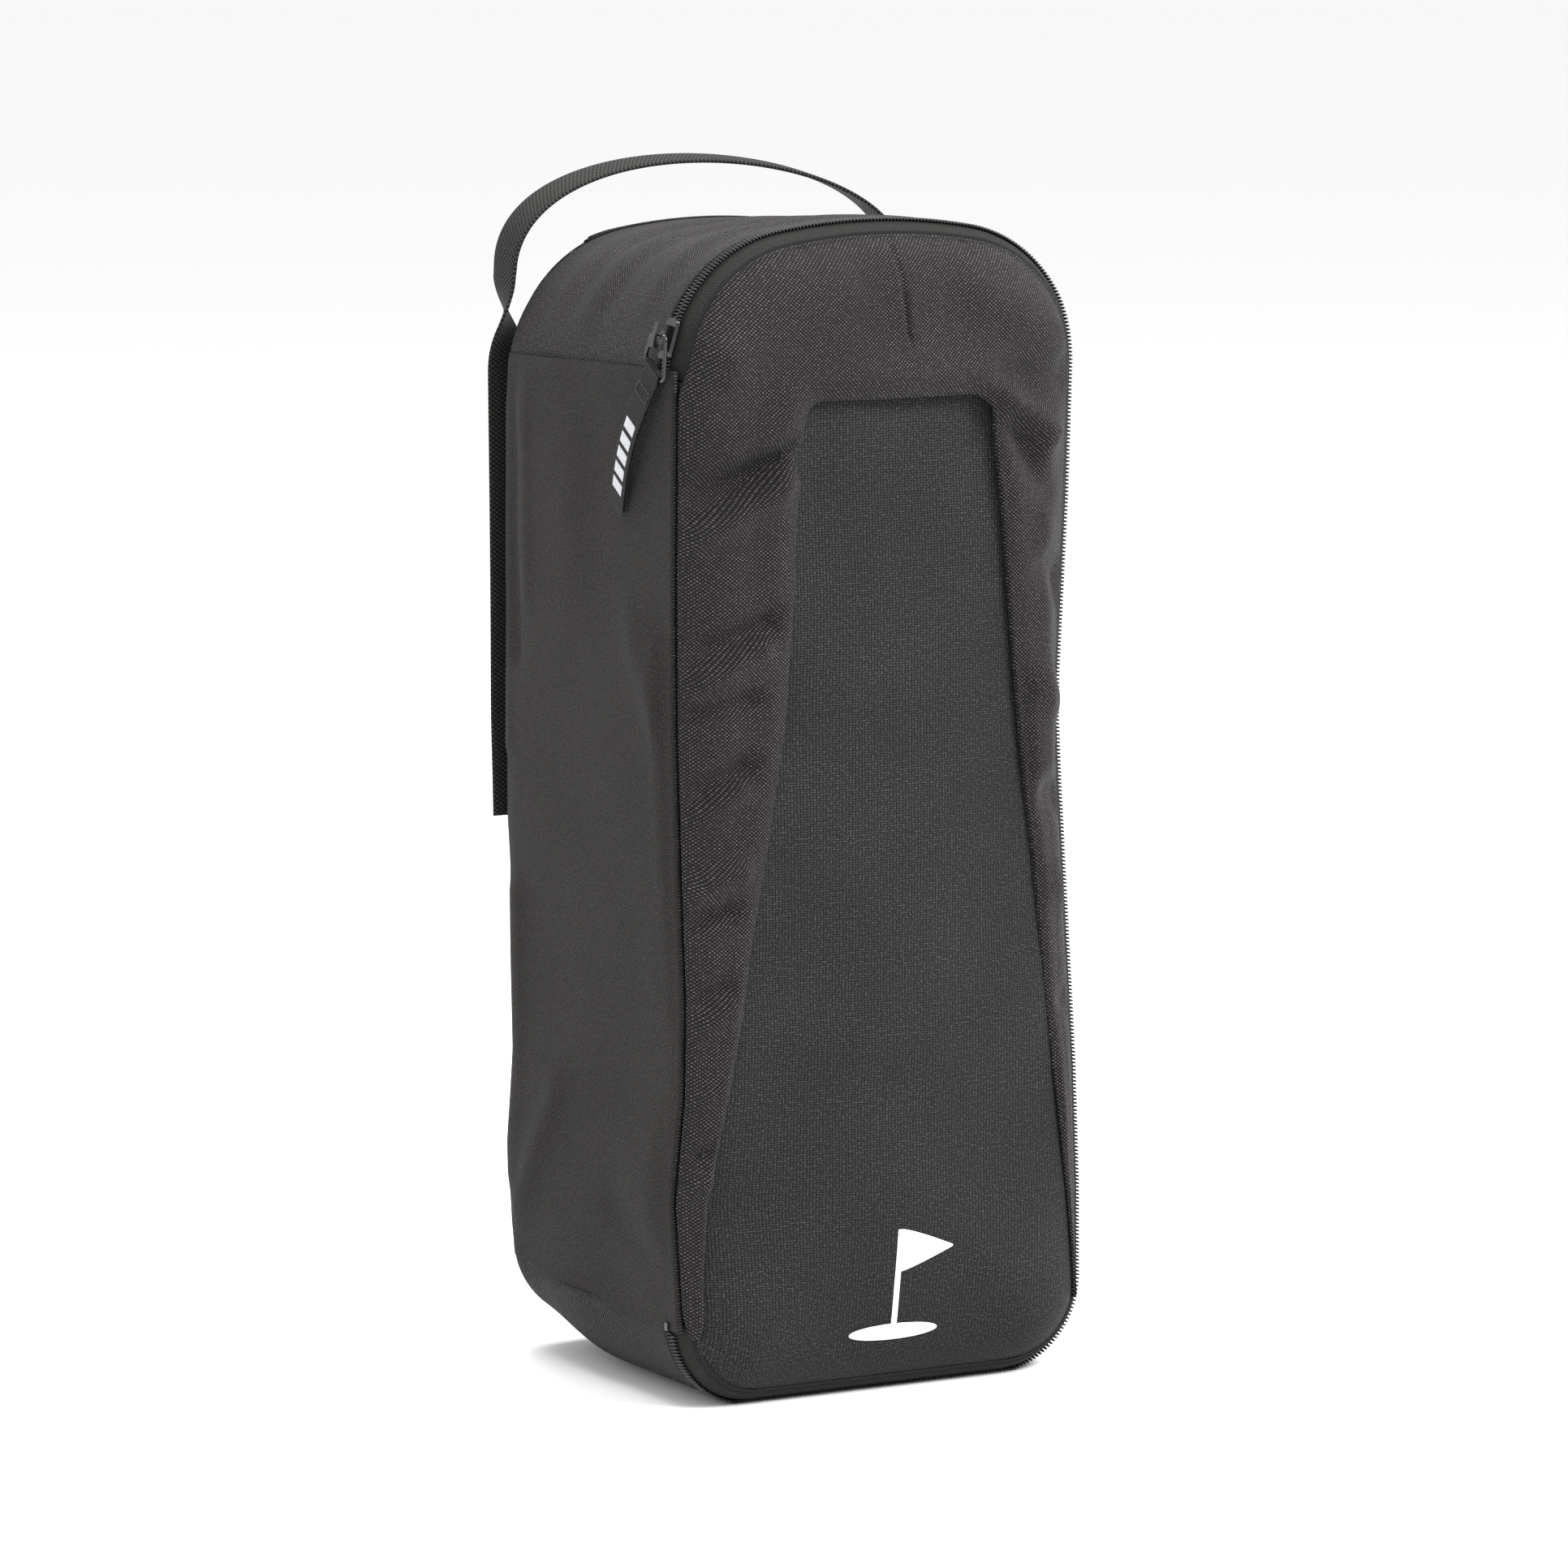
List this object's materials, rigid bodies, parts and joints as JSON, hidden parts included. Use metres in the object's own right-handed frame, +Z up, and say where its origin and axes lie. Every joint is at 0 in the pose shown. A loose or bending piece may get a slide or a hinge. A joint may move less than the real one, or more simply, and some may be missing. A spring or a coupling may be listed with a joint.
{
  "type": "golf shoe bag",
  "caption": "Soft upright shoe bag with a rounded top, a front door that unzips on three sides, a ribbon zip pull and a webbing carry handle.",
  "frame": {"origin": "middle of the flat base the bag stands on", "axes": "+Z up, the zipped door faces -Y, the door's fabric hinge is on the -X side"},
  "size_m": [0.1524, 0.1379, 0.3858],
  "materials": {
    "outer_cloth": "coarse oxford weave, matt",
    "inset_cloth": "dobby diamond weave, matt",
    "lining_cloth": "plain fine weave",
    "zip_tape": "knitted herringbone tape",
    "zip_coil": "moulded coil, glossy",
    "webbing": "coarse woven webbing",
    "thread": "polyester thread",
    "slider_metal": "glossy black enamel",
    "ribbon": "ribbed grosgrain",
    "white_print": "satin screen print",
    "white_yarn": "woven mark"
  },
  "bodies": {
    "shell": {"back_panel": "outer_cloth", "back_lining": "lining_cloth", "zip_gusset": "outer_cloth", "zip_gusset_lining": "lining_cloth", "hinge_gusset": "outer_cloth", "hinge_gusset_lining": "lining_cloth", "back_seam_binding": "zip_tape", "zip_tape_rear": "zip_tape", "zip_coil_rear": "zip_coil", "zip_end_stops": "slider_metal", "handle_leg_left": "webbing", "handle_leg_right": "webbing", "handle_bartacks": "thread"},
    "door": {"front_frame_panel": "outer_cloth", "front_inset_panel": "inset_cloth", "front_lining": "lining_cloth", "front_seam_binding": "zip_tape", "zip_tape_front": "zip_tape", "zip_coil_front": "zip_coil", "emblem_print": "white_print"},
    "handle": {"handle_arch": "webbing"},
    "slider": {"slider_body": "slider_metal", "slider_bridge": "slider_metal"},
    "ring": {"pull_ring": "slider_metal"},
    "tab": {"pull_tab": "ribbon", "pull_tab_stitches": "thread", "pull_tab_mark": "white_yarn"}
  },
  "joints": [
    {"name": "door_hinge", "type": "hinge", "parent": "shell", "child": "door", "pos_m": [-0.073, -0.0575, 0.176], "axis": [0, 0, -1], "range_deg": [0, 140]},
    {"name": "slider_travel", "type": "hinge", "parent": "shell", "child": "slider", "pos_m": [-0.027, -0.05117, 0.32361], "axis": [0, 1, 0], "range_deg": [0, 54]},
    {"name": "pull_flip", "type": "hinge", "parent": "slider", "child": "ring", "pos_m": [-0.07491, -0.05117, 0.33826], "axis": [0, 1, 0], "range_deg": [0, 120]},
    {"name": "tab_fold", "type": "hinge", "parent": "ring", "child": "tab", "pos_m": [-0.07491, -0.04818, 0.32726], "axis": [0, 0.848, 0.5299], "range_deg": [0, 50]},
    {"name": "handle_swing", "type": "hinge", "parent": "shell", "child": "handle", "pos_m": [0, 0.0603, 0.33], "axis": [-1, 0, 0], "range_deg": [0, 120]}
  ]
}
